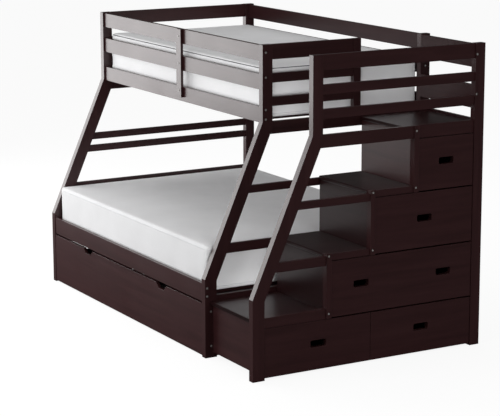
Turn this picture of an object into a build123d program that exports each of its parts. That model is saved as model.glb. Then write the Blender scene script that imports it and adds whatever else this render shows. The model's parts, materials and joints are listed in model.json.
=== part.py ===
"""Twin-over-full bunk bed with a storage staircase and a trundle.

Three end frames stand across the bed: left, middle and outer. The two bunks hang between the left
and middle frames, and the staircase stands between the middle and outer frames. Millimetres,
+X along the bed towards the stairs, +Y towards the back, +Z up. The origin is on the floor, at the
middle of the overall box.
"""
from build123d import *
import os

os.makedirs("parts", exist_ok=True)

# ------------------------------------------------------------------ driving dimensions
overall_length = 2489
overall_depth = 1422
overall_height = 1651

# end frames
post_thickness = 38          # along X
lower_post_width = 70        # along Y, front post below its lower bend
slant_width = 69             # square to the slanted stretch
upper_post_width = 60        # front post above its upper bend
rear_post_width = 60
lower_bend_height = 430
upper_bunk_setback = 353     # how far the upper bunk's front stands behind the lower one's
end_rail_thickness = 22
end_top_rail_width = 80
end_guard_rail_width = 50
deck_rail_width = 68
end_guard_gaps = (73, 75)      # below the top rail, below the upper guard rail
guard_height = 409           # from the top of the deck rails to the top of the posts
rung_width = 40
rung_drop = 14               # below the third tread
step_rail_width = 50
step_rail_drop = 9           # below the second tread
extra_rung_gap = 36          # between the left frame's two rungs
low_end_rail_top = 338
low_end_rail_width = 100
guard_post_width = 45
guard_post_thickness = 30
entry_width = 391            # way in from the stairs, between guard post and rear post

# upper bunk
side_board_thickness = 22
guard_board_width = 83
guard_board_drop = 5         # below the top of the posts
guard_board_gaps = (70, 93)  # below the top board, below the middle board
guard_board_setback = 10     # behind the front of the upper posts
rear_board_inset = 16        # in front of the back of the posts
rear_middle_board_drop = 132  # below the top board's upper edge
centre_stile_width = 55
centre_stile_thickness = 16
centre_stile_lift = 24       # above the low board's lower edge
centre_stile_offset = 52     # from the middle of the bed, towards the stairs
low_stile_screw_drop = 21    # below the low board's upper edge
upper_mattress_height = 275
guard_bolt_drops = (36, 15, 11)  # below the upper edges of the top, middle and low boards
low_board_bolt_rise = 21      # above the low board's lower edge

# lower bunk
bed_rail_bottom = 305
bed_rail_width = 99
bed_rail_setback = 4
bed_rail_thickness = 20
lower_mattress_height = 252
mattress_end_gap = 5
mattress_side_gap = 4
mattress_edge_radius = 12
mattress_corner_radius = 14

# slats
cleat_size = 20
upper_cleat_height = 14
upper_cleat_drop = 6         # below the lower edge of the side board
lower_cleat_rise = 5
slat_thickness = 18
upper_slat_thickness = 10
slat_width = 70
slat_count = 14
slat_end_gap = 1
centre_beam_width = 40
centre_beam_height = 40

# staircase
stair_clear_width = 466
first_tread_height = 310
top_tread_drop = 18          # top tread below the top of the deck rails
tread_rise = 306             # between the first three treads
tread_thickness = 20
first_riser_setback = 441
tread_run = 268
nosing_overhang = 4
first_nosing_setback = 30
nosing_radius = 6
panel_thickness = 18
side_panel_thickness = 15
front_panel_setback = 46
front_panel_foot = 28
panel_foot = 12
stile_width = 30
stile_top_rise = 4
stair_rail_thickness = 30
first_step_rail_width = 55
first_step_rail_rise = 18    # above the first tread
edge_strip_gap = 1           # behind the drawer fronts
back_panel_rise = 14         # above the top tread
bay_board_width = 124
bay_board_gap = 94
bay_board_inset = 38         # in front of the back of the posts
bay_bolt_drops = (54, 48)     # below the upper edges of the bay's top and low boards

# drawers
front_thickness = 18
front_recess = 4             # behind the outer face of the frame
front_side_gap = 3
front_lap_above = 30         # lower edge of a drawer front, below the deck that it stands over
front_lap_below = 38         # upper edge of a drawer front, below the top of the deck over it
drawer_board = 12
drawer_bottom_thickness = 6
drawer_depth = 440
drawer_side_inset = 6
drawer_headroom = 45
runner_height = 18
runner_overlap = 14
runner_gap = 0.5
bottom_runner_height = 40
pull_width = 95
pull_height = 38
pull_corner = 8
pull_lift = 10               # above the middle of the drawer front
pull_spread = 261            # of the wide drawer's two pulls, from its middle

# trundle
trundle_side_gap = 3
trundle_front_setback = 2
trundle_front_bottom = 8
trundle_top_gap = 10
trundle_depth = 990
trundle_board_bottom = 60
trundle_board_height = 130
trundle_slat_count = 12
trundle_cleat_rise = 18
stop_width = 25
stop_clearance = 4
stop_foot = 40
stop_bolt_rise = 23           # above the foot of the stop
stop_bolt_drop = 53           # below the bed rail's lower edge
notch_spread = 478           # from the middle of the bed
notch_top_width = 122
notch_bottom_width = 62
notch_depth = 28
notch_corner = 8
caster_block = 60
caster_inset = 90
wheel_radius = 25
wheel_width = 20
wheel_side_gap = 1.5
wheel_edge_radius = 4
caster_plate_thickness = 3
caster_cheek_width = 28
axle_radius = 4
axle_running_gap = 0.05
axle_press_gap = 0.02

# fasteners
bolt_head_radius = 6
bolt_head_height = 2.5
counterbore_radius = 8
counterbore_depth = 4
bolt_head_taper = 25
bolt_shank_radius = 3
bolt_bite = 22               # into the second piece
bolt_hole_gap = 0.2
bolt_socket_radius = 2.8
bolt_socket_depth = 1.4
stile_screw_bite = 15

glue_gap = 0.2               # between boards that are separate solids of one assembly

# ------------------------------------------------------------------ planes worked out from them
front_y = -overall_depth / 2
back_y = overall_depth / 2
left_x = -overall_length / 2
outer_face_x = overall_length / 2
outer_x = outer_face_x - post_thickness
front_x = (outer_face_x - front_recess - front_thickness, outer_face_x - front_recess)
middle_x = outer_x - stair_clear_width - post_thickness
bed_x = (left_x + post_thickness, middle_x)
bed_centre_x = (bed_x[0] + bed_x[1]) / 2
bay_x = (middle_x + post_thickness, outer_x)
rear_post_y = back_y - rear_post_width

deck_rail_top = overall_height - guard_height
deck_rail_z = (deck_rail_top - deck_rail_width, deck_rail_top)
top_rail_z = (overall_height - end_top_rail_width, overall_height)
upper_guard_top = top_rail_z[0] - end_guard_gaps[0]
upper_guard_z = (upper_guard_top - end_guard_rail_width, upper_guard_top)
lower_guard_top = upper_guard_z[0] - end_guard_gaps[1]
lower_guard_z = (lower_guard_top - end_guard_rail_width, lower_guard_top)

top_tread_height = deck_rail_top - top_tread_drop
tread_z = [first_tread_height + tread_rise * n for n in range(3)] + [top_tread_height]
riser_y = [front_y + first_riser_setback + tread_run * n for n in range(3)]

rung_top = tread_z[2] - rung_drop
rung_z = (rung_top - rung_width, rung_top)
extra_rung_z = (rung_z[0] - extra_rung_gap - rung_width, rung_z[0] - extra_rung_gap)
step_rail_top = tread_z[1] - step_rail_drop
step_rail_z = (step_rail_top - step_rail_width, step_rail_top)
low_end_rail_z = (low_end_rail_top - low_end_rail_width, low_end_rail_top)

# ------------------------------------------------------------------ the bent front post's outline
upper_y = front_y + upper_bunk_setback
upper_bend_height = deck_rail_top
slant = Vector(upper_bunk_setback, upper_bend_height - lower_bend_height).normalized()
slant_back = Vector(front_y, lower_bend_height) + Vector(slant.Y, -slant.X) * slant_width


def slant_back_y(z):
    """Y of the slanted stretch's back edge at height z."""
    return slant_back.X + (z - slant_back.Y) * slant.X / slant.Y


def slant_back_z(y):
    """Height at which the slanted stretch's back edge reaches y."""
    return slant_back.Y + (y - slant_back.X) * slant.Y / slant.X


lower_post_back = front_y + lower_post_width
upper_post_back = upper_y + upper_post_width
lower_bend_back = slant_back_z(lower_post_back)
upper_bend_back = slant_back_z(upper_post_back)


def post_back(z):
    """Y of the front post's back edge at height z."""
    if z <= lower_bend_back:
        return lower_post_back
    if z >= upper_bend_back:
        return upper_post_back
    return slant_back_y(z)


# ------------------------------------------------------------------ bolts: (face x, y, z, side, length)
# side is the way the head points along X.
guard_board_y = (upper_y + guard_board_setback, upper_y + guard_board_setback + side_board_thickness)
rear_board_y = (back_y - rear_board_inset - side_board_thickness, back_y - rear_board_inset)
bay_board_y = (back_y - bay_board_inset - side_board_thickness, back_y - bay_board_inset)
bed_rail_y = (front_y + bed_rail_setback, front_y + bed_rail_setback + bed_rail_thickness)
lower_rear_rail_y = (-bed_rail_y[1], -bed_rail_y[0])
bed_rail_z = (bed_rail_bottom, bed_rail_bottom + bed_rail_width)
trundle_front_y = (front_y + trundle_front_setback, front_y + trundle_front_setback + front_thickness)
stop_y = (trundle_front_y[1] + stop_clearance, trundle_front_y[1] + stop_clearance + stop_width)
stop_z = (stop_foot, bed_rail_bottom)

board_top = overall_height - guard_board_drop
top_board_z = (board_top - guard_board_width, board_top)
middle_board_top = top_board_z[0] - guard_board_gaps[0]
middle_board_z = (middle_board_top - guard_board_width, middle_board_top)
low_board_top = middle_board_z[0] - guard_board_gaps[1]
low_board_z = (low_board_top - guard_board_width, low_board_top)
rear_middle_board_top = board_top - rear_middle_board_drop
rear_middle_board_z = (rear_middle_board_top - guard_board_width, rear_middle_board_top)
bay_top_z = (board_top - bay_board_width, board_top)
bay_low_z = (bay_top_z[0] - bay_board_gap - bay_board_width, bay_top_z[0] - bay_board_gap)


def middle(pair):
    return (pair[0] + pair[1]) / 2


def thirds(pair):
    """Two heights inside a wide board, for its two bolts."""
    return [pair[0] + (pair[1] - pair[0]) * share for share in (0.33, 0.78)]


guard_boards = (top_board_z, middle_board_z, low_board_z)
guard_bolt_heights = [z[1] - drop for z, drop in zip(guard_boards, guard_bolt_drops)]
guard_bolt_heights.append(low_board_z[0] + low_board_bolt_rise)
bay_bolt_heights = [z[1] - drop for z, drop in zip((bay_top_z, bay_low_z), bay_bolt_drops)]
stop_bolt_heights = (stop_foot + stop_bolt_rise, bed_rail_bottom - stop_bolt_drop)
bed_bolt_points = (
    [(middle(guard_board_y), z) for z in guard_bolt_heights]
    + [(middle(rear_board_y), middle(z)) for z in (top_board_z, rear_middle_board_z, low_board_z)]
    + [(middle(y), z) for y in (bed_rail_y, lower_rear_rail_y) for z in thirds(bed_rail_z)]
    + [(middle(stop_y), z) for z in stop_bolt_heights]
)
bay_bolt_points = [(middle(bay_board_y), z) for z in bay_bolt_heights]
bolt_length = post_thickness + bolt_bite

left_bolts = [(left_x, y, z, -1, bolt_length) for y, z in bed_bolt_points]
middle_bolts = [(bay_x[0], y, z, 1, bolt_length) for y, z in bed_bolt_points]
outer_bolts = [(outer_face_x, y, z, 1, bolt_length) for y, z in bay_bolt_points]
stile_bolts = [
    (outer_face_x, y + stile_width / 2, tread_z[level] - tread_thickness / 2, 1, bolt_length)
    for n, y in enumerate(riser_y)
    for level in (n, n + 1)
]
stile_screw_heights = [middle(top_board_z), middle(middle_board_z), low_board_top - low_stile_screw_drop]
centre_stile_x = bed_centre_x + centre_stile_offset
centre_stile_y = (guard_board_y[0] - centre_stile_thickness, guard_board_y[0])


# ------------------------------------------------------------------ helpers, used inside a part block
def slab(x, y, z):
    """Add a board that runs between the two values of x, of y and of z."""
    with Locations((middle(x), middle(y), middle(z))):
        Box(x[1] - x[0], y[1] - y[0], z[1] - z[0])


def drill(bolts):
    """Cut the clearance hole of each bolt."""
    for face, y, z, side, length in bolts:
        with BuildSketch(Plane.YZ.offset(face)) as hole:
            with Locations((y, z)):
                Circle(bolt_shank_radius + bolt_hole_gap)
        extrude(hole.sketch, amount=-side * length, mode=Mode.SUBTRACT)


def sink_heads(bolts):
    """Cut the counterbore that each bolt's head sits in."""
    for face, y, z, side, length in bolts:
        with BuildSketch(Plane.YZ.offset(face)) as seat:
            with Locations((y, z)):
                Circle(counterbore_radius)
        extrude(seat.sketch, amount=-side * counterbore_depth, mode=Mode.SUBTRACT)


def add_bolts(bolts):
    """Add button-head bolts with a hexagon socket."""
    for face, y, z, side, length in bolts:
        seat = face - side * counterbore_depth
        with BuildSketch(Plane.YZ.offset(seat)) as head:
            with Locations((y, z)):
                Circle(bolt_head_radius)
        extrude(head.sketch, amount=side * bolt_head_height, taper=bolt_head_taper)
        with BuildSketch(Plane.YZ.offset(seat)) as shank:
            with Locations((y, z)):
                Circle(bolt_shank_radius)
        extrude(shank.sketch, amount=-side * (length - counterbore_depth - bolt_hole_gap))
        with BuildSketch(Plane.YZ.offset(seat + side * bolt_head_height)) as socket:
            with Locations((y, z)):
                RegularPolygon(bolt_socket_radius, 6)
        extrude(socket.sketch, amount=-side * bolt_socket_depth, mode=Mode.SUBTRACT)


def end_rail(frame_x, z, y_end, thickness=end_rail_thickness, inner=None):
    """Add a rail of an end frame, from the front post's back edge to y_end.

    It is centred in the frame's thickness, or starts at x = inner.
    """
    x = frame_x + (post_thickness - thickness) / 2 if inner is None else inner
    bends = [b for b in (lower_bend_back, upper_bend_back) if z[0] < b < z[1]]
    front_edge = [(post_back(h), h) for h in [z[0]] + bends + [z[1]]]
    with BuildSketch(Plane.YZ.offset(x)) as side_view:
        with BuildLine():
            Polyline(*front_edge, (y_end, z[1]), (y_end, z[0]), close=True)
        make_face()
    extrude(side_view.sketch, amount=thickness)


def save(piece, name):
    """Label a finished piece and write its STEP file."""
    piece.part.label = name
    export_step(piece.part, f"parts/{name}.step")


# ------------------------------------------------------------------ end frames: posts
front_post_outline = [
    (front_y, 0),
    (front_y, lower_bend_height),
    (upper_y, upper_bend_height),
    (upper_y, overall_height),
    (upper_post_back, overall_height),
    (upper_post_back, upper_bend_back),
    (lower_post_back, lower_bend_back),
    (lower_post_back, 0),
]
frames = {
    "left": (left_x, left_bolts),
    "middle": (middle_x, middle_bolts),
    "outer": (outer_x, outer_bolts),
}
for frame_name, (frame_x, bolts) in frames.items():
    with BuildPart() as front_post:
        with BuildSketch(Plane.YZ.offset(frame_x)):
            with BuildLine():
                Polyline(*front_post_outline, close=True)
            make_face()
        extrude(amount=post_thickness)
        drill([b for b in bolts if b[1] < 0])
        sink_heads([b for b in bolts if b[1] < 0])
    save(front_post, f"{frame_name}_front_post")

    with BuildPart() as rear_post:
        slab((frame_x, frame_x + post_thickness), (rear_post_y, back_y), (0, overall_height))
        drill([b for b in bolts if b[1] > 0])
        sink_heads([b for b in bolts if b[1] > 0])
    save(rear_post, f"{frame_name}_rear_post")

# ------------------------------------------------------------------ end frames: rails
guard_post_y = (rear_post_y - entry_width - guard_post_width, rear_post_y - entry_width)
shared_rails = [deck_rail_z, rung_z, step_rail_z, low_end_rail_z]

with BuildPart() as left_end_rails:
    for level in [top_rail_z, upper_guard_z, lower_guard_z, extra_rung_z] + shared_rails:
        end_rail(left_x, level, rear_post_y)
save(left_end_rails, "left_end_rails")

with BuildPart() as middle_end_rails:
    for level in shared_rails:
        end_rail(middle_x, level, rear_post_y)
    for level in (top_rail_z, upper_guard_z, lower_guard_z):
        end_rail(middle_x, level, guard_post_y[0])
save(middle_end_rails, "middle_end_rails")

guard_post_x = middle_x + (post_thickness - guard_post_thickness) / 2
with BuildPart() as middle_guard_post:
    slab((guard_post_x, guard_post_x + guard_post_thickness), guard_post_y, (deck_rail_top, overall_height))
save(middle_guard_post, "middle_guard_post")

first_step_rail_top = tread_z[0] + first_step_rail_rise
first_step_rail_z = (first_step_rail_top - first_step_rail_width, first_step_rail_top)
stair_rail_x = (outer_x, outer_x + stair_rail_thickness)
with BuildPart() as outer_end_rails:
    for level in (top_rail_z, upper_guard_z, lower_guard_z):
        end_rail(outer_x, level, rear_post_y)
    end_rail(outer_x, deck_rail_z, riser_y[2])
    end_rail(outer_x, rung_z, riser_y[1])
    end_rail(outer_x, step_rail_z, riser_y[0])
    end_rail(outer_x, first_step_rail_z, riser_y[0], stair_rail_thickness, outer_x)
    slab(stair_rail_x, (riser_y[2] + stile_width, rear_post_y), deck_rail_z)
save(outer_end_rails, "outer_end_rails")

# ------------------------------------------------------------------ staircase: stiles and strips of the end face
front_bottom = [z - front_lap_above for z in tread_z]
front_top = [z - front_lap_below for z in tread_z]

with BuildPart() as stair_stiles:
    for n, y in enumerate(riser_y):
        top = deck_rail_top if n == len(riser_y) - 1 else tread_z[n + 1] + stile_top_rise
        slab((outer_x, outer_face_x), (y, y + stile_width), (front_top[n] + front_side_gap, top))
    drill(stile_bolts)
    sink_heads(stile_bolts)
save(stair_stiles, "stair_stiles")

with BuildPart() as stair_end_strips:
    for n in (1, 2):
        strip_z = (front_top[n] + front_side_gap, tread_z[n])
        slab(stair_rail_x, (riser_y[n - 1] + stile_width, riser_y[n]), strip_z)
save(stair_end_strips, "stair_end_strips")

with BuildPart() as deck_edge_strips:
    for n in range(len(riser_y)):
        strip_z = (tread_z[n] - tread_thickness, tread_z[n])
        slab((outer_x, front_x[0] - edge_strip_gap), (riser_y[n] + stile_width, rear_post_y), strip_z)
save(deck_edge_strips, "deck_edge_strips")

# ------------------------------------------------------------------ staircase: carcase
back_panel_y = (back_y - panel_thickness, back_y)
front_panel_y = (front_y + front_panel_setback, front_y + front_panel_setback + panel_thickness)
tread_front = [front_y + first_nosing_setback] + [y - nosing_overhang for y in riser_y]
tread_names = ["tread_1", "tread_2", "tread_3", "tread_4"]
for name, z, y in zip(tread_names, tread_z, tread_front):
    with BuildPart() as tread:
        slab(bay_x, (y, back_panel_y[0]), (z - tread_thickness, z))
        nose = tread.faces().sort_by(Axis.Y)[0].edges().filter_by(Axis.X)
        fillet(nose, radius=nosing_radius)
        drill([b for b in stile_bolts if abs(b[2] - (z - tread_thickness / 2)) < tread_thickness / 2])
    save(tread, name)

for n, y in enumerate(riser_y):
    with BuildPart() as riser:
        slab(bay_x, (y, y + panel_thickness), (tread_z[n], tread_z[n + 1] - tread_thickness))
    save(riser, f"riser_{n + 1}")

with BuildPart() as stair_front_panel:
    slab(bay_x, front_panel_y, (front_panel_foot, tread_z[0] - tread_thickness))
save(stair_front_panel, "stair_front_panel")

with BuildPart() as stair_back_panel:
    slab(bay_x, back_panel_y, (panel_foot, top_tread_height + back_panel_rise))
save(stair_back_panel, "stair_back_panel")

side_panel_x = (bay_x[0], bay_x[0] + side_panel_thickness)
side_panel_front = [front_panel_y[1]] + [y + panel_thickness for y in riser_y]
floors = [panel_foot] + tread_z[:-1]
with BuildPart() as stair_side_panels:
    for floor, ceiling, y in zip(floors, tread_z, side_panel_front):
        slab(side_panel_x, (y, back_panel_y[0]), (floor, ceiling - tread_thickness))
save(stair_side_panels, "stair_side_panels")

# the bottom row's two drawers meet in front of this divider
rear_drawer_edge = rear_post_y - front_side_gap
front_drawer_edge = lower_post_back + front_side_gap
divider_centre = (front_drawer_edge + rear_drawer_edge) / 2
divider_y = (divider_centre - panel_thickness / 2, divider_centre + panel_thickness / 2)
with BuildPart() as stair_divider:
    slab((side_panel_x[1], outer_x), divider_y, (panel_foot, tread_z[0] - tread_thickness))
save(stair_divider, "stair_divider")

# ------------------------------------------------------------------ drawers
# name: (front y range, walls on either side, level of the deck under it or None, pull offsets)
drawers = {
    "drawer_bottom_front": (
        (front_drawer_edge, divider_centre - front_side_gap / 2), (front_panel_y[1], divider_y[0]), None, [0]),
    "drawer_bottom_rear": (
        (divider_centre + front_side_gap / 2, rear_drawer_edge), (divider_y[1], back_panel_y[0]), None, [0]),
    "drawer_wide": (
        (riser_y[0] + stile_width + front_side_gap, rear_drawer_edge),
        (riser_y[0] + panel_thickness, back_panel_y[0]), 0, [-pull_spread, pull_spread]),
    "drawer_third": (
        (riser_y[1] + stile_width + front_side_gap, rear_drawer_edge),
        (riser_y[1] + panel_thickness, back_panel_y[0]), 1, [0]),
    "drawer_top": (
        (riser_y[2] + stile_width + front_side_gap, rear_drawer_edge),
        (riser_y[2] + panel_thickness, back_panel_y[0]), 2, [0]),
}
box_x = (front_x[0] - drawer_depth, front_x[0])
runner_spans = []
for name, (front_span, walls, deck, pulls) in drawers.items():
    if deck is None:
        face_z = (panel_foot, front_top[0])
        box_floor = panel_foot + bottom_runner_height
        ceiling = tread_z[0] - tread_thickness
    else:
        highest = min(front_top[deck + 1], deck_rail_z[0] - front_side_gap)
        face_z = (front_bottom[deck], highest)
        box_floor = tread_z[deck] + runner_height
        ceiling = tread_z[deck + 1] - tread_thickness
    pull_z = middle(face_z) + pull_lift
    with BuildPart() as drawer_front:
        slab(front_x, front_span, face_z)
        with BuildSketch(Plane.YZ.offset(front_x[0])):
            with Locations(*[(middle(front_span) + offset, pull_z) for offset in pulls]):
                RectangleRounded(pull_width, pull_height, pull_corner)
        extrude(amount=front_thickness, mode=Mode.SUBTRACT)
    save(drawer_front, f"{name}_front")

    box_start = max(front_span[0], walls[0]) + drawer_side_inset
    box_end = min(front_span[1], walls[1]) - drawer_side_inset
    box_y = (box_start, box_end)
    box_z = (box_floor + runner_gap, ceiling - drawer_headroom)
    inner_x = (box_x[0] + drawer_board + glue_gap, box_x[1] - drawer_board - glue_gap)
    side_y = [(box_y[0], box_y[0] + drawer_board), (box_y[1] - drawer_board, box_y[1])]
    inner_y = (side_y[0][1] + glue_gap, side_y[1][0] - glue_gap)
    bottom_z = (box_z[0] + drawer_bottom_thickness, box_z[0] + 2 * drawer_bottom_thickness)
    with BuildPart() as drawer_box:
        for span in side_y:
            slab((inner_x[0], inner_x[1]), span, box_z)
        slab((box_x[0], box_x[0] + drawer_board), box_y, box_z)
        slab((box_x[1] - drawer_board, box_x[1]), box_y, box_z)
        slab(inner_x, inner_y, bottom_z)
        with BuildSketch(Plane.YZ.offset(box_x[1] - drawer_board)):
            with Locations(*[(middle(front_span) + offset, pull_z) for offset in pulls]):
                RectangleRounded(pull_width, pull_height, pull_corner)
        extrude(amount=drawer_board, mode=Mode.SUBTRACT)
    save(drawer_box, f"{name}_box")
    runner_z = (box_floor - runner_height, box_floor)
    runner_spans += [
        ((walls[0], box_y[0] + runner_overlap), runner_z),
        ((box_y[1] - runner_overlap, walls[1]), runner_z),
    ]

with BuildPart() as drawer_runners:
    for span, runner_z in runner_spans:
        slab((side_panel_x[1], outer_x), span, runner_z)
save(drawer_runners, "drawer_runners")

# ------------------------------------------------------------------ upper bunk
with BuildPart() as upper_front_boards:
    for level in guard_boards:
        slab(bed_x, guard_board_y, level)
    drill(left_bolts + middle_bolts)
    with BuildSketch(Plane.XZ.offset(-guard_board_y[0])):
        with Locations(*[(centre_stile_x, z) for z in stile_screw_heights]):
            Circle(bolt_shank_radius + bolt_hole_gap)
    extrude(amount=-stile_screw_bite, mode=Mode.SUBTRACT)
save(upper_front_boards, "upper_front_boards")

stile_x = (centre_stile_x - centre_stile_width / 2, centre_stile_x + centre_stile_width / 2)
with BuildPart() as guard_centre_stile:
    slab(stile_x, centre_stile_y, (low_board_z[0] + centre_stile_lift, board_top))
    with BuildSketch(Plane.XZ.offset(-centre_stile_y[1])):
        with Locations(*[(centre_stile_x, z) for z in stile_screw_heights]):
            Circle(bolt_shank_radius + bolt_hole_gap)
    extrude(amount=centre_stile_thickness, mode=Mode.SUBTRACT)
save(guard_centre_stile, "guard_centre_stile")

with BuildPart() as upper_rear_boards:
    for level in (top_board_z, rear_middle_board_z, low_board_z):
        slab(bed_x, rear_board_y, level)
    drill(left_bolts + middle_bolts)
save(upper_rear_boards, "upper_rear_boards")

with BuildPart() as bay_rear_boards:
    for level in (bay_top_z, bay_low_z):
        slab(bay_x, bay_board_y, level)
    drill(outer_bolts)
save(bay_rear_boards, "bay_rear_boards")

# ------------------------------------------------------------------ lower bunk
with BuildPart() as lower_front_rail:
    slab(bed_x, bed_rail_y, bed_rail_z)
    drill(left_bolts + middle_bolts)
save(lower_front_rail, "lower_front_rail")

with BuildPart() as lower_rear_rail:
    slab(bed_x, lower_rear_rail_y, bed_rail_z)
    drill(left_bolts + middle_bolts)
save(lower_rear_rail, "lower_rear_rail")

# ------------------------------------------------------------------ slats, their supports and the mattresses
upper_cleat_foot = low_board_z[0] - upper_cleat_drop
upper_cleat_z = (upper_cleat_foot, upper_cleat_foot + upper_cleat_height)
lower_cleat_z = (bed_rail_z[0] + lower_cleat_rise, bed_rail_z[0] + lower_cleat_rise + cleat_size)
rail_inset = (post_thickness - end_rail_thickness) / 2
beam_x = (bed_x[0] - rail_inset, bed_x[1] + rail_inset)
beam_y = (-centre_beam_width / 2, centre_beam_width / 2)
with BuildPart() as slat_supports:
    for front_edge, rear_edge, level in (
        (guard_board_y[1], rear_board_y[0], upper_cleat_z),
        (bed_rail_y[1], lower_rear_rail_y[0], lower_cleat_z),
    ):
        slab(bed_x, (front_edge, front_edge + cleat_size), level)
        slab(bed_x, (rear_edge - cleat_size, rear_edge), level)
    slab(beam_x, beam_y, (lower_cleat_z[1] - centre_beam_height, lower_cleat_z[1]))
save(slat_supports, "slat_supports")

bunks = {
    "upper": (guard_board_y[1], rear_board_y[0], upper_cleat_z[1], upper_slat_thickness, upper_mattress_height),
    "lower": (bed_rail_y[1], lower_rear_rail_y[0], lower_cleat_z[1], slat_thickness, lower_mattress_height),
}
slat_pitch = (bed_x[1] - bed_x[0]) / slat_count
for bunk, (front_edge, rear_edge, seat, thickness, mattress_height) in bunks.items():
    slat_y = (front_edge + slat_end_gap, rear_edge - slat_end_gap)
    with BuildPart() as slats:
        for n in range(slat_count):
            centre = bed_x[0] + slat_pitch * (n + 0.5)
            slab((centre - slat_width / 2, centre + slat_width / 2), slat_y, (seat, seat + thickness))
    save(slats, f"{bunk}_slats")

    mattress_z = (seat + thickness, seat + thickness + mattress_height)
    with BuildPart() as mattress:
        slab((bed_x[0] + mattress_end_gap, bed_x[1] - mattress_end_gap),
             (front_edge + mattress_side_gap, rear_edge - mattress_side_gap), mattress_z)
        fillet(mattress.edges().filter_by(Axis.Z), radius=mattress_corner_radius)
        fillet(mattress.faces().filter_by(Axis.Z).edges(), radius=mattress_edge_radius)
    save(mattress, f"{bunk}_mattress")

# ------------------------------------------------------------------ trundle
front_panel_x = (bed_x[0] + trundle_side_gap, bed_x[1] - trundle_side_gap)
trundle_top = bed_rail_z[0] - trundle_top_gap
box_side_x = (bed_x[0] + stop_width + stop_clearance, bed_x[1] - stop_width - stop_clearance)
side_x = [(box_side_x[0], box_side_x[0] + panel_thickness), (box_side_x[1] - panel_thickness, box_side_x[1])]
between_x = (side_x[0][1] + glue_gap, side_x[1][0] - glue_gap)
trundle_y = (trundle_front_y[1], trundle_front_y[1] + trundle_depth)
board_z = (trundle_board_bottom, trundle_board_bottom + trundle_board_height)
trundle_cleat_z = (board_z[0] + trundle_cleat_rise, board_z[0] + trundle_cleat_rise + cleat_size)
back_board_y = (trundle_y[1] - panel_thickness, trundle_y[1])

with BuildPart() as trundle_front:
    slab(front_panel_x, trundle_front_y, (trundle_front_bottom, trundle_top))
    with BuildSketch(Plane.XZ.offset(-trundle_front_y[1])):
        for side in (-1, 1):
            centre = bed_centre_x + side * notch_spread
            with BuildLine():
                Polyline(
                    (centre - notch_top_width / 2, trundle_top),
                    (centre - notch_bottom_width / 2, trundle_top - notch_depth),
                    (centre + notch_bottom_width / 2, trundle_top - notch_depth),
                    (centre + notch_top_width / 2, trundle_top),
                    close=True,
                )
            make_face()
    extrude(amount=front_thickness, mode=Mode.SUBTRACT)
    low_corners = trundle_front.edges().filter_by(Axis.Y).group_by(Axis.Z)[-2]
    fillet(low_corners, radius=notch_corner)
save(trundle_front, "trundle_front")

with BuildPart() as trundle_boards:
    for span in side_x:
        slab(span, trundle_y, board_z)
    slab(between_x, back_board_y, board_z)
    slab(between_x, (trundle_y[0], trundle_y[0] + cleat_size), trundle_cleat_z)
    slab(between_x, (back_board_y[0] - glue_gap - cleat_size, back_board_y[0] - glue_gap), trundle_cleat_z)
save(trundle_boards, "trundle_boards")

trundle_slat_z = (trundle_cleat_z[1], trundle_cleat_z[1] + slat_thickness)
trundle_slat_y = (trundle_y[0] + slat_end_gap, back_board_y[0] - slat_end_gap)
trundle_slat_pitch = (between_x[1] - between_x[0]) / trundle_slat_count
with BuildPart() as trundle_slats:
    for n in range(trundle_slat_count):
        centre = between_x[0] + trundle_slat_pitch * (n + 0.5)
        slab((centre - slat_width / 2, centre + slat_width / 2), trundle_slat_y, trundle_slat_z)
save(trundle_slats, "trundle_slats")

with BuildPart() as trundle_stops:
    for x in (bed_x[0], bed_x[1] - stop_width):
        slab((x, x + stop_width), stop_y, stop_z)
    drill(left_bolts + middle_bolts)
save(trundle_stops, "trundle_stops")

# ------------------------------------------------------------------ trundle wheels
block_x = [between_x[0] + caster_block / 2, between_x[1] - caster_block / 2]
block_y = [trundle_y[0] + caster_inset, back_board_y[0] - caster_inset]
caster_points = [(x, y) for y in block_y for x in block_x]
block_z = (board_z[0], trundle_cleat_z[1])
with BuildPart() as caster_blocks:
    for x, y in caster_points:
        slab((x - caster_block / 2, x + caster_block / 2), (y - caster_block / 2, y + caster_block / 2), block_z)
save(caster_blocks, "caster_blocks")

cheek_gap = wheel_width / 2 + wheel_side_gap
cheek_foot = wheel_radius - caster_cheek_width / 2
axle_half = cheek_gap + 2 * caster_plate_thickness
with BuildPart() as caster_forks:
    for x, y in caster_points:
        half = caster_block / 2
        slab((x - half, x + half), (y - half, y + half), (block_z[0] - caster_plate_thickness, block_z[0]))
        for side in (-1, 1):
            cheek_x = sorted((x + side * cheek_gap, x + side * (cheek_gap + caster_plate_thickness)))
            half_width = caster_cheek_width / 2
            slab(cheek_x, (y - half_width, y + half_width), (cheek_foot, block_z[0] - caster_plate_thickness))
        with BuildSketch(Plane.YZ.offset(x - axle_half)):
            with Locations((y, wheel_radius)):
                Circle(axle_radius + axle_press_gap)
        extrude(amount=2 * axle_half, mode=Mode.SUBTRACT)
save(caster_forks, "caster_forks")

with BuildPart() as caster_axles:
    for x, y in caster_points:
        with BuildSketch(Plane.YZ.offset(x - axle_half)):
            with Locations((y, wheel_radius)):
                Circle(axle_radius)
        extrude(amount=2 * axle_half)
save(caster_axles, "caster_axles")

wheel_names = ["wheel_front_left", "wheel_front_right", "wheel_rear_left", "wheel_rear_right"]
for name, (x, y) in zip(wheel_names, caster_points):
    with BuildPart() as wheel:
        with BuildSketch(Plane.YZ.offset(x - wheel_width / 2)):
            with Locations((y, wheel_radius)):
                Circle(wheel_radius)
        extrude(amount=wheel_width)
        fillet(wheel.edges().filter_by(GeomType.CIRCLE), radius=wheel_edge_radius)
        with BuildSketch(Plane.YZ.offset(x - wheel_width / 2)):
            with Locations((y, wheel_radius)):
                Circle(axle_radius + axle_running_gap)
        extrude(amount=wheel_width, mode=Mode.SUBTRACT)
    save(wheel, name)

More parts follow.
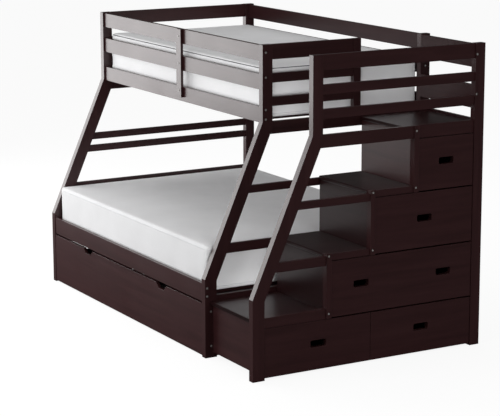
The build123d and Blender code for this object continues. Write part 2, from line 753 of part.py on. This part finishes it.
# ------------------------------------------------------------------ fasteners
with BuildPart() as frame_bolts:
    add_bolts(left_bolts + middle_bolts + outer_bolts)
save(frame_bolts, "frame_bolts")

with BuildPart() as stair_screws:
    add_bolts(stile_bolts)
save(stair_screws, "stair_screws")

with BuildPart() as guard_screws:
    screw_points = [(centre_stile_x, z) for z in stile_screw_heights]
    with BuildSketch(Plane.XZ.offset(-centre_stile_y[0])):
        with Locations(*screw_points):
            Circle(bolt_head_radius)
    extrude(amount=bolt_head_height, taper=bolt_head_taper)
    with BuildSketch(Plane.XZ.offset(-centre_stile_y[0])):
        with Locations(*screw_points):
            Circle(bolt_shank_radius)
    extrude(amount=-(centre_stile_thickness + stile_screw_bite - bolt_hole_gap))
    with BuildSketch(Plane.XZ.offset(-centre_stile_y[0] + bolt_head_height)):
        with Locations(*screw_points):
            RegularPolygon(bolt_socket_radius, 6)
    extrude(amount=-bolt_socket_depth, mode=Mode.SUBTRACT)
save(guard_screws, "guard_screws")
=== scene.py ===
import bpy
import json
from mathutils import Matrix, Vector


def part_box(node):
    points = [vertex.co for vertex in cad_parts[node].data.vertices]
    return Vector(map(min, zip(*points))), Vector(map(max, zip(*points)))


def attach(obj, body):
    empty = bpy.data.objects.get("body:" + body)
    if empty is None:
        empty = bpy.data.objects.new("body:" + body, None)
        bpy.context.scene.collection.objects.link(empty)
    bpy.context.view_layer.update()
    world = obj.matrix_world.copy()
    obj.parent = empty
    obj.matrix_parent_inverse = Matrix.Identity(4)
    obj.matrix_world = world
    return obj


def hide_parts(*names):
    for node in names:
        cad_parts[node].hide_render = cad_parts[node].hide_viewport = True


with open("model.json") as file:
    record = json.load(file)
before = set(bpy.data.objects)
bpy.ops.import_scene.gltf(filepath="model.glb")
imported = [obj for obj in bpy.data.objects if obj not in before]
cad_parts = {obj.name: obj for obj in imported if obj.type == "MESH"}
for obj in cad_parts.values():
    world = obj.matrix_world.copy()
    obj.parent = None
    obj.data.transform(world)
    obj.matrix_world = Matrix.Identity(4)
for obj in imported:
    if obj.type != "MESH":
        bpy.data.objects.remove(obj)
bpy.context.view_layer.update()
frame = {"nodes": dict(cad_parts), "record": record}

import json
import math

import bpy
import bmesh
from mathutils import Matrix, Vector
from mathutils.bvhtree import BVHTree

nodes = frame["nodes"]
slots = {s["node"]: s["material_slot"] for s in frame["record"]["subparts"]}

# slope of the front posts' bent stretch, from vertical: its depth over its height
SLANT = math.atan2(0.353, 0.812)


# ------------------------------------------------------------------ material helpers
def new_material(name):
    """A material with an empty node tree, its principled shader and its output joined."""
    mat = bpy.data.materials.new(name)
    mat.use_nodes = True
    tree = mat.node_tree
    tree.nodes.clear()
    out = tree.nodes.new("ShaderNodeOutputMaterial")
    shader = tree.nodes.new("ShaderNodeBsdfPrincipled")
    tree.links.new(shader.outputs[0], out.inputs["Surface"])
    return mat, tree, shader


def add(tree, kind, **settings):
    """A node with its properties and its inputs' values set."""
    node = tree.nodes.new(kind)
    for key, value in settings.items():
        if key in node.inputs.keys():
            node.inputs[key].default_value = value
        else:
            setattr(node, key, value)
    return node


def link(tree, a, b):
    tree.links.new(a, b)


def coordinates(tree, scale, rotation=(0, 0, 0)):
    """Object coordinates, turned and scaled."""
    place = add(tree, "ShaderNodeTexCoord")
    mapping = add(tree, "ShaderNodeMapping")
    mapping.inputs["Rotation"].default_value = rotation
    mapping.inputs["Scale"].default_value = scale
    link(tree, place.outputs["Object"], mapping.inputs["Vector"])
    return mapping.outputs[0]


def ramp(tree, source, stops):
    """A colour ramp over (position, colour) stops."""
    node = tree.nodes.new("ShaderNodeValToRGB")
    while len(node.color_ramp.elements) < len(stops):
        node.color_ramp.elements.new(0.5)
    for element, (position, colour) in zip(node.color_ramp.elements, stops):
        element.position = position
        element.color = (*colour, 1)
    link(tree, source, node.inputs[0])
    return node.outputs[0]


def remap(tree, source, low, high):
    node = add(tree, "ShaderNodeMapRange")
    node.inputs["To Min"].default_value = low
    node.inputs["To Max"].default_value = high
    link(tree, source, node.inputs["Value"])
    return node.outputs[0]


def edge_mask(tree, radius):
    """0 on flat faces, rising to 1 on outer edges."""
    bevel = add(tree, "ShaderNodeBevel", samples=4)
    bevel.inputs["Radius"].default_value = radius
    geometry = add(tree, "ShaderNodeNewGeometry")
    dot = add(tree, "ShaderNodeVectorMath", operation="DOT_PRODUCT")
    link(tree, bevel.outputs[0], dot.inputs[0])
    link(tree, geometry.outputs["Normal"], dot.inputs[1])
    mask = add(tree, "ShaderNodeMapRange")
    mask.inputs["From Min"].default_value = 1.0
    mask.inputs["From Max"].default_value = 0.72
    link(tree, dot.outputs["Value"], mask.inputs["Value"])
    return mask.outputs[0]


def grain_scale(axis, along, across):
    return tuple(along if k == axis else across for k in range(3))


def wood(name, axis, colours, roughness, tilt=0.0, edge_wear_and_highlight=(0.11, 0.07, 0.065), specular=0.5):
    """Stained wood whose grain runs along an axis: figure, fine pores, satin sheen and edges made lighter,
    partly as real wear and partly as a painted highlight.
    """
    mat, tree, shader = new_material(name)
    turn = (tilt, 0, 0)
    broad = add(tree, "ShaderNodeTexNoise", Scale=1.0, Detail=6.0, Roughness=0.6, Distortion=0.6)
    link(tree, coordinates(tree, grain_scale(axis, 1.6, 26.0), turn), broad.inputs["Vector"])
    pores = add(tree, "ShaderNodeTexNoise", Scale=1.0, Detail=3.0, Roughness=0.7)
    link(tree, coordinates(tree, grain_scale(axis, 14.0, 620.0), turn), pores.inputs["Vector"])
    cloud = add(tree, "ShaderNodeTexNoise", Scale=1.0, Detail=2.0)
    link(tree, coordinates(tree, (3.0, 3.0, 3.0)), cloud.inputs["Vector"])

    figure = ramp(tree, broad.outputs["Fac"], [(0.3, colours[0]), (0.52, colours[1]), (0.72, colours[2])])
    pore_dark = add(tree, "ShaderNodeMix", data_type="RGBA", blend_type="MULTIPLY")
    link(tree, remap(tree, pores.outputs["Fac"], 0.0, 0.7), pore_dark.inputs[0])
    link(tree, figure, pore_dark.inputs[6])
    pore_dark.inputs[7].default_value = (0.62, 0.6, 0.6, 1)
    # edges lighter where the edge mask meets the cloud: partly real wear, partly a painted highlight along
    # the edges
    worn_and_highlit_edges = add(tree, "ShaderNodeMix", data_type="RGBA")
    mask = add(tree, "ShaderNodeMath", operation="MULTIPLY")
    link(tree, edge_mask(tree, 0.0022), mask.inputs[0])
    link(tree, remap(tree, cloud.outputs["Fac"], 0.15, 0.6), mask.inputs[1])
    link(tree, mask.outputs[0], worn_and_highlit_edges.inputs[0])
    link(tree, pore_dark.outputs[2], worn_and_highlit_edges.inputs[6])
    worn_and_highlit_edges.inputs[7].default_value = (*edge_wear_and_highlight, 1)
    link(tree, worn_and_highlit_edges.outputs[2], shader.inputs["Base Color"])

    sheen = remap(tree, cloud.outputs["Fac"], roughness - 0.06, roughness + 0.08)
    link(tree, sheen, shader.inputs["Roughness"])
    shader.inputs["Specular IOR Level"].default_value = specular
    rounded = add(tree, "ShaderNodeBevel", samples=4)
    rounded.inputs["Radius"].default_value = 0.0016
    bump = add(tree, "ShaderNodeBump", Strength=0.12, Distance=0.0003)
    link(tree, pores.outputs["Fac"], bump.inputs["Height"])
    link(tree, rounded.outputs[0], bump.inputs["Normal"])
    link(tree, bump.outputs[0], shader.inputs["Normal"])
    return mat


ESPRESSO = ((0.043, 0.0148, 0.0158), (0.054, 0.0188, 0.0200), (0.063, 0.0230, 0.0242))
PINE = ((0.50, 0.35, 0.20), (0.64, 0.48, 0.30), (0.74, 0.59, 0.40))
espresso = {axis: wood(f"espresso_{'xyz'[axis]}", axis, ESPRESSO, 0.30) for axis in range(3)}
espresso_slanted = wood("espresso_slanted", 2, ESPRESSO, 0.30, tilt=SLANT)
pine = {axis: wood(f"pine_{'xyz'[axis]}", axis, PINE, 0.5, edge_wear_and_highlight=(0.8, 0.66, 0.48)) for axis in range(3)}


def metal(name, colour, roughness, metallic=1.0):
    """Plated steel with fine turning marks and a little tarnish."""
    mat, tree, shader = new_material(name)
    tarnish = add(tree, "ShaderNodeTexNoise", Scale=1.0, Detail=4.0)
    link(tree, coordinates(tree, (180, 180, 180)), tarnish.inputs["Vector"])
    dull = tuple(0.6 * c for c in colour)
    tint = ramp(tree, tarnish.outputs["Fac"], [(0.35, dull), (0.65, colour)])
    link(tree, tint, shader.inputs["Base Color"])
    sheen = remap(tree, tarnish.outputs["Fac"], roughness - 0.08, roughness + 0.1)
    link(tree, sheen, shader.inputs["Roughness"])
    shader.inputs["Metallic"].default_value = metallic
    bump = add(tree, "ShaderNodeBump", Strength=0.1, Distance=0.0001)
    link(tree, tarnish.outputs["Fac"], bump.inputs["Height"])
    link(tree, bump.outputs[0], shader.inputs["Normal"])
    return mat


def rubber(name):
    """Moulded black tread rubber with a dusty bloom."""
    mat, tree, shader = new_material(name)
    dust = add(tree, "ShaderNodeTexNoise", Scale=1.0, Detail=5.0)
    link(tree, coordinates(tree, (90, 90, 90)), dust.inputs["Vector"])
    stops = [(0.4, (0.012, 0.012, 0.012)), (0.75, (0.045, 0.043, 0.04))]
    link(tree, ramp(tree, dust.outputs["Fac"], stops), shader.inputs["Base Color"])
    shader.inputs["Roughness"].default_value = 0.75
    bump = add(tree, "ShaderNodeBump", Strength=0.25, Distance=0.0004)
    link(tree, dust.outputs["Fac"], bump.inputs["Height"])
    link(tree, bump.outputs[0], shader.inputs["Normal"])
    return mat


def fabric(name, colour, pitch, strength):
    """Plain woven cover: crossed threads, a soft unevenness and cloth sheen."""
    mat, tree, shader = new_material(name)
    heights = []
    for axis in range(3):
        wave = add(tree, "ShaderNodeTexWave", wave_type="BANDS", bands_direction="XYZ"[axis], Scale=1.0)
        wave.inputs["Distortion"].default_value = 0.4
        link(tree, coordinates(tree, (pitch,) * 3), wave.inputs["Vector"])
        heights.append(wave.outputs["Fac"])
    total = heights[0]
    for other in heights[1:]:
        join = add(tree, "ShaderNodeMath", operation="ADD")
        link(tree, total, join.inputs[0])
        link(tree, other, join.inputs[1])
        total = join.outputs[0]
    soft = add(tree, "ShaderNodeTexNoise", Scale=1.0, Detail=4.0)
    link(tree, coordinates(tree, (5, 5, 5)), soft.inputs["Vector"])
    shade = tuple(0.94 * c for c in colour)
    link(tree, ramp(tree, soft.outputs["Fac"], [(0.3, shade), (0.7, colour)]), shader.inputs["Base Color"])
    shader.inputs["Roughness"].default_value = 0.85
    shader.inputs["Specular IOR Level"].default_value = 0.2
    shader.inputs["Sheen Weight"].default_value = 0.15
    shader.inputs["Sheen Roughness"].default_value = 0.5
    fine = add(tree, "ShaderNodeBump", Strength=strength, Distance=0.0004)
    link(tree, total, fine.inputs["Height"])
    ripple = add(tree, "ShaderNodeBump", Strength=0.12, Distance=0.004)
    link(tree, soft.outputs["Fac"], ripple.inputs["Height"])
    link(tree, fine.outputs[0], ripple.inputs["Normal"])
    link(tree, ripple.outputs[0], shader.inputs["Normal"])
    return mat


bolt = metal("bolt_nickel", (0.72, 0.70, 0.68), 0.5, metallic=0.35)
plated = metal("zinc_plate", (0.70, 0.70, 0.71), 0.35)
tyre = rubber("caster_rubber")
cover = fabric("mattress_cover", (0.90, 0.90, 0.91), 900.0, 0.25)
piping = fabric("mattress_tape", (0.84, 0.84, 0.86), 1500.0, 0.4)
# a dark grey cord laid along the upper mattress's top edge, much darker than the cover
dark_edge_cord = fabric("mattress_dark_edge_cord", (0.10, 0.10, 0.11), 1500.0, 0.4)

# ------------------------------------------------------------------ materials on the CAD nodes
GRAIN_Y = ("end_rails", "tread", "stair_side", "strips", "slats", "drawer")
GRAIN_Z = ("post", "stile", "stair_divider")
for name, obj in nodes.items():
    slot = slots[name]
    low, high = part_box(name)
    size = [high[k] - low[k] for k in range(3)]
    axis = size.index(max(size))
    if any(word in name for word in GRAIN_Y):
        axis = 1
    if any(word in name for word in GRAIN_Z):
        axis = 2
    finish = {
        "espresso_wood": espresso_slanted if name.endswith("front_post") else espresso[axis],
        "bare_wood": pine[0 if name in ("slat_supports", "drawer_runners") else axis],
        "bolt_metal": bolt,
        "caster_metal": plated,
        "wheel_rubber": tyre,
        "mattress_fabric": cover,
    }[slot]
    obj.data.materials.clear()
    obj.data.materials.append(finish)

# soft corners on the boards that carry no bolt holes
PLAIN_BOARDS = (
    "left_end_rails", "middle_end_rails", "outer_end_rails", "middle_guard_post", "bay_rear_boards",
    "riser_1", "riser_2", "riser_3", "stair_front_panel", "stair_back_panel", "stair_end_strips",
    "deck_edge_strips", "trundle_boards", "upper_slats", "lower_slats", "trundle_slats",
)
for name in PLAIN_BOARDS:
    weld = nodes[name].modifiers.new("weld", "WELD")
    weld.merge_threshold = 0.00001
    bevel = nodes[name].modifiers.new("edge", "BEVEL")
    bevel.width = 0.0014
    bevel.segments = 2
    bevel.limit_method = "ANGLE"
    bevel.angle_limit = math.radians(40)


# ------------------------------------------------------------------ mattresses
def rounded_block(low, high, corner, edge):
    """A voxel-ready closed block with rounded corners."""
    mesh = bmesh.new()
    bmesh.ops.create_cube(mesh, size=1)
    centre = (low + high) / 2
    size = high - low
    for v in mesh.verts:
        v.co = Vector((v.co[k] * size[k] + centre[k] for k in range(3)))
    upright = [e for e in mesh.edges if abs(e.verts[0].co.z - e.verts[1].co.z) > 0.01]
    bmesh.ops.bevel(mesh, geom=upright, offset=corner, segments=6, profile=0.5, affect="EDGES")
    rims = [
        e for e in mesh.edges
        if len(e.link_faces) == 2
        and sum(abs(f.normal.z) > 0.9 for f in e.link_faces) == 1
    ]
    bmesh.ops.bevel(mesh, geom=rims, offset=edge, segments=4, profile=0.5, affect="EDGES")
    data = bpy.data.meshes.new("block")
    mesh.to_mesh(data)
    mesh.free()
    return data


def link_object(obj):
    bpy.context.scene.collection.objects.link(obj)
    return obj


def apply_modifiers(obj):
    """Bakes the object's modifiers into its mesh."""
    graph = bpy.context.evaluated_depsgraph_get()
    baked = bpy.data.meshes.new_from_object(obj.evaluated_get(graph))
    obj.modifiers.clear()
    obj.data = baked


SHRINK = 0.004       # the pad starts this much inside its CAD solid
SWELL_CAP = 0.0075   # and may swell by this much
VOXEL = 0.016
PRESSURE = 4.0
CLOTH_FRAMES = 20
PAD_EDGE = 0.012
TAPE_RADIUS = 0.0025
CORNER = 0.014
TAPE_INSET = 0.022   # height of the sewn tapes from the top and bottom faces
DARK_CORD_INSET = 0.005


def perimeter(low, high, corner, z):
    """Points round a rounded rectangle at height z."""
    points = []
    corners = ((high.x, high.y, 0), (low.x, high.y, 90), (low.x, low.y, 180), (high.x, low.y, 270))
    for x, y, start in corners:
        cx = x - corner if x == high.x else x + corner
        cy = y - corner if y == high.y else y + corner
        for step in range(9):
            a = math.radians(start + step * 11.25)
            points.append(Vector((cx + corner * math.cos(a), cy + corner * math.sin(a), z)))
    dense = []
    for a, b in zip(points, points[1:] + points[:1]):
        parts = max(1, round((b - a).length / 0.03))
        dense += [a.lerp(b, k / parts) for k in range(parts)]
    return dense


def mattress(name, top_tape, top_inset):
    """A swollen pad in place of the CAD solid, with a tape sewn round its bottom and its top edge."""
    low, high = (Vector(p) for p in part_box(name))
    inner_low = low + Vector((SHRINK,) * 3)
    inner_high = high - Vector((SHRINK,) * 3)
    inner_low.z = low.z + 0.0005
    block = rounded_block(inner_low, inner_high, CORNER, PAD_EDGE)
    pad = link_object(bpy.data.objects.new(name + "_pad", block))
    remesh = pad.modifiers.new("remesh", "REMESH")
    remesh.mode = "VOXEL"
    remesh.voxel_size = VOXEL
    apply_modifiers(pad)
    start = [v.co.copy() for v in pad.data.vertices]
    cloth = pad.modifiers.new("cloth", "CLOTH")
    cloth.settings.use_pressure = True
    cloth.settings.uniform_pressure_force = PRESSURE
    cloth.settings.quality = 5
    cloth.settings.effector_weights.gravity = 0.0
    cloth.collision_settings.use_collision = False
    for number in range(1, CLOTH_FRAMES + 1):
        bpy.context.scene.frame_set(number)
    apply_modifiers(pad)
    bpy.context.scene.frame_set(1)
    for vertex, home in zip(pad.data.vertices, start):
        move = vertex.co - home
        if move.length > SWELL_CAP:
            move *= SWELL_CAP / move.length
        place = home + move
        place.z = max(place.z, low.z + 0.0003)
        vertex.co = place
    smooth = pad.modifiers.new("smooth", "SUBSURF")
    smooth.levels = smooth.render_levels = 1
    apply_modifiers(pad)
    for face in pad.data.polygons:
        face.use_smooth = True
    pad.data.materials.clear()
    pad.data.materials.append(cover)

    corners = [v.co for v in pad.data.vertices]
    surface = BVHTree.FromPolygons(corners, [p.vertices[:] for p in pad.data.polygons])
    tapes = []
    ends = (("lower", low.z + TAPE_INSET, piping), ("upper", high.z - top_inset, top_tape))
    for end, z, finish in ends:
        curve = bpy.data.curves.new(f"{name}_{end}_tape", "CURVE")
        curve.dimensions = "3D"
        curve.bevel_depth = TAPE_RADIUS
        curve.bevel_resolution = 2
        line = curve.splines.new("POLY")
        points = [surface.find_nearest(p)[0] for p in perimeter(low, high, CORNER, z)]
        line.points.add(len(points) - 1)
        for target, point in zip(line.points, points):
            target.co = (*point, 1)
        line.use_cyclic_u = True
        tape = link_object(bpy.data.objects.new(f"{name}_{end}_tape", curve))
        tape.data.materials.append(finish)
        tapes.append(tape)
    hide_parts(name)
    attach(pad, "bed")
    for tape in tapes:
        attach(tape, "bed")
    return [pad] + tapes


lower_fabric = mattress("lower_mattress", piping, TAPE_INSET)
upper_fabric = mattress("upper_mattress", dark_edge_cord, DARK_CORD_INSET)


# ------------------------------------------------------------------ stage
FLOOR_HALF = 60.0
FLOOR_GLOW = 0.90              # seen by the camera only
FLOOR_TONE = (0.16, 0.16, 0.16, 1)
# the floor's colour seen in reflections: a painted darkening of the reflected floor
FLOOR_TONE_MIRRORED = (0.10, 0.10, 0.10, 1)
# a painted shadow under the bed: inside this rectangle the floor's glow is masked off
SHADE_HALF_LENGTH = 1.15       # the glow stops inside this rectangle, under the bed
SHADE_HALF_DEPTH = 0.62
SHADE_BLUR = 0.08
WORLD_LEVEL = 0.34
WORLD_LEVEL_MIRRORED = 0.07
floor_mesh = bpy.data.meshes.new("floor")
floor_corners = [(FLOOR_HALF * x, FLOOR_HALF * y, 0) for x, y in ((-1, -1), (1, -1), (1, 1), (-1, 1))]
floor_mesh.from_pydata(floor_corners, [], [(0, 1, 2, 3)])
floor = link_object(bpy.data.objects.new("floor", floor_mesh))
floor.location.z = -0.0005
floor_mat, tree, shader = new_material("pale_floor")
shader.inputs["Roughness"].default_value = 0.9
shader.inputs["Specular IOR Level"].default_value = 0.0
bright = add(tree, "ShaderNodeEmission")


def past(source, edge):
    """0 while the value is well within the edge on either side of zero, rising to 1 at it."""
    size = add(tree, "ShaderNodeMath", operation="ABSOLUTE")
    link(tree, source, size.inputs[0])
    step = add(tree, "ShaderNodeMapRange")
    step.inputs["From Min"].default_value = edge - SHADE_BLUR
    step.inputs["From Max"].default_value = edge
    link(tree, size.outputs[0], step.inputs["Value"])
    return step.outputs[0]


# the floor's own glow stops under the bed, leaving a painted shadow on the floor beneath it
spot = add(tree, "ShaderNodeSeparateXYZ")
link(tree, coordinates(tree, (1, 1, 1)), spot.inputs[0])
outside = add(tree, "ShaderNodeMath", operation="MAXIMUM")
link(tree, past(spot.outputs["X"], SHADE_HALF_LENGTH), outside.inputs[0])
link(tree, past(spot.outputs["Y"], SHADE_HALF_DEPTH), outside.inputs[1])
glow = add(tree, "ShaderNodeMath", operation="MULTIPLY")
glow.inputs[1].default_value = FLOOR_GLOW
link(tree, outside.outputs[0], glow.inputs[0])
link(tree, glow.outputs[0], bright.inputs["Strength"])
shown = add(tree, "ShaderNodeAddShader")
path = add(tree, "ShaderNodeLightPath")
pick = add(tree, "ShaderNodeMixShader")
# for glossy rays the floor takes the darker tone: a painted darkening of the floor seen in reflections
tone = add(tree, "ShaderNodeMix", data_type="RGBA")
tone.inputs[6].default_value = FLOOR_TONE
tone.inputs[7].default_value = FLOOR_TONE_MIRRORED
link(tree, path.outputs["Is Glossy Ray"], tone.inputs[0])
link(tree, tone.outputs[2], shader.inputs["Base Color"])
link(tree, bright.outputs[0], shown.inputs[0])
link(tree, shader.outputs[0], shown.inputs[1])
link(tree, path.outputs["Is Camera Ray"], pick.inputs[0])
link(tree, shader.outputs[0], pick.inputs[1])
link(tree, shown.outputs[0], pick.inputs[2])
link(tree, pick.outputs[0], tree.nodes["Material Output"].inputs["Surface"])
floor.data.materials.append(floor_mat)

world = bpy.data.worlds.new("studio")
world.use_nodes = True
backdrop = world.node_tree.nodes["Background"]
backdrop.inputs["Color"].default_value = (1, 1, 1, 1)
world_path = world.node_tree.nodes.new("ShaderNodeLightPath")
glossy = world_path.outputs["Is Glossy Ray"]
world_level = remap(world.node_tree, glossy, WORLD_LEVEL, WORLD_LEVEL_MIRRORED)
world.node_tree.links.new(world_level, backdrop.inputs["Strength"])
bpy.context.scene.world = world
bpy.context.scene.view_settings.view_transform = "Standard"


def softbox(name, place, target, width, height, radiance):
    """A rectangular area light whose face glows with that radiance."""
    light = bpy.data.lights.new(name, "AREA")
    light.shape = "RECTANGLE"
    light.size = width
    light.size_y = height
    light.energy = radiance * math.pi * width * height
    lamp = link_object(bpy.data.objects.new(name, light))
    lamp.location = place
    lamp.rotation_euler = (Vector(target) - Vector(place)).to_track_quat("-Z", "Y").to_euler()
    return lamp


def receivers(lamp, objects, state):
    """The light reaches only these objects, or all but these."""
    group = bpy.data.collections.new(lamp.name + "_receivers")
    for obj in objects:
        group.objects.link(obj)
    lamp.light_linking.receiver_collection = group
    for entry in group.collection_objects:
        entry.light_linking.link_state = state


KEY_SHAPE = ((-3.9, -2.7, 1.55), (-0.1, -0.5, 1.2), 4.6, 2.6)
key = softbox("front_left_box", *KEY_SHAPE, 4.4)
REAR_WOOD = ("upper_rear_boards", "bay_rear_boards", "lower_rear_rail", "stair_back_panel")
TREADS = ("tread_1", "tread_2", "tread_3", "tread_4")
STEPS = TREADS + ("riser_1", "riser_2", "riser_3", "stair_stiles", "stair_end_strips", "deck_edge_strips")
receivers(key, [nodes[name] for name in REAR_WOOD + STEPS], "EXCLUDE")
for name, radiance in (("riser_3", 2.1), ("riser_2", 0.6)):
    lamp = softbox(name + "_key", *KEY_SHAPE, radiance)
    receivers(lamp, [nodes[name]], "INCLUDE")
upper_fill = softbox("upper_fabric_fill", (4.0, -2.5, 1.2), (0.7, 0, 1.4), 2.0, 1.4, 8.9)
receivers(upper_fill, upper_fabric, "INCLUDE")
lower_fill = softbox("lower_fabric_fill", (5.0, -0.75, 0.9), (0.7, -0.4, 0.5), 2.0, 1.4, 9.0)
receivers(lower_fill, lower_fabric, "INCLUDE")
for name, place, size, radiance, kept_off in (
    ("front_fill", (0.5, -7.0, 1.6), 5.0, 2.6, TREADS + ("riser_1", "riser_2")),
    ("right_fill", (7.5, -0.5, 2.2), 4.0, 2.2, ()),
    ("top_fill", (-0.5, -0.5, 6.0), 4.0, 1.2, TREADS),
):
    lamp = softbox(name, place, (0, 0, 0.8), size, size * 0.7, radiance)
    lamp.visible_glossy = False
    if kept_off:
        receivers(lamp, [nodes[node] for node in kept_off], "EXCLUDE")

# ------------------------------------------------------------------ camera
EYE = Vector((9.0178, -5.1778, 2.8044))
AZIMUTH, ELEVATION, ROLL = -1.0506, 0.2082, -0.0024
forward = Vector((
    math.cos(ELEVATION) * math.sin(AZIMUTH),
    math.cos(ELEVATION) * math.cos(AZIMUTH),
    -math.sin(ELEVATION),
))
right = Vector((math.cos(AZIMUTH), -math.sin(AZIMUTH), 0))
up = right.cross(forward)
right, up = (math.cos(ROLL) * right + math.sin(ROLL) * up, -math.sin(ROLL) * right + math.cos(ROLL) * up)
lens = bpy.data.cameras.new("camera")
lens.lens = 132.3
lens.sensor_width = 36.0
lens.clip_end = 300.0
camera = link_object(bpy.data.objects.new("camera", lens))
turn = Matrix((right, up, -forward)).transposed().to_4x4()
camera.matrix_world = Matrix.Translation(EYE) @ turn
bpy.context.scene.camera = camera
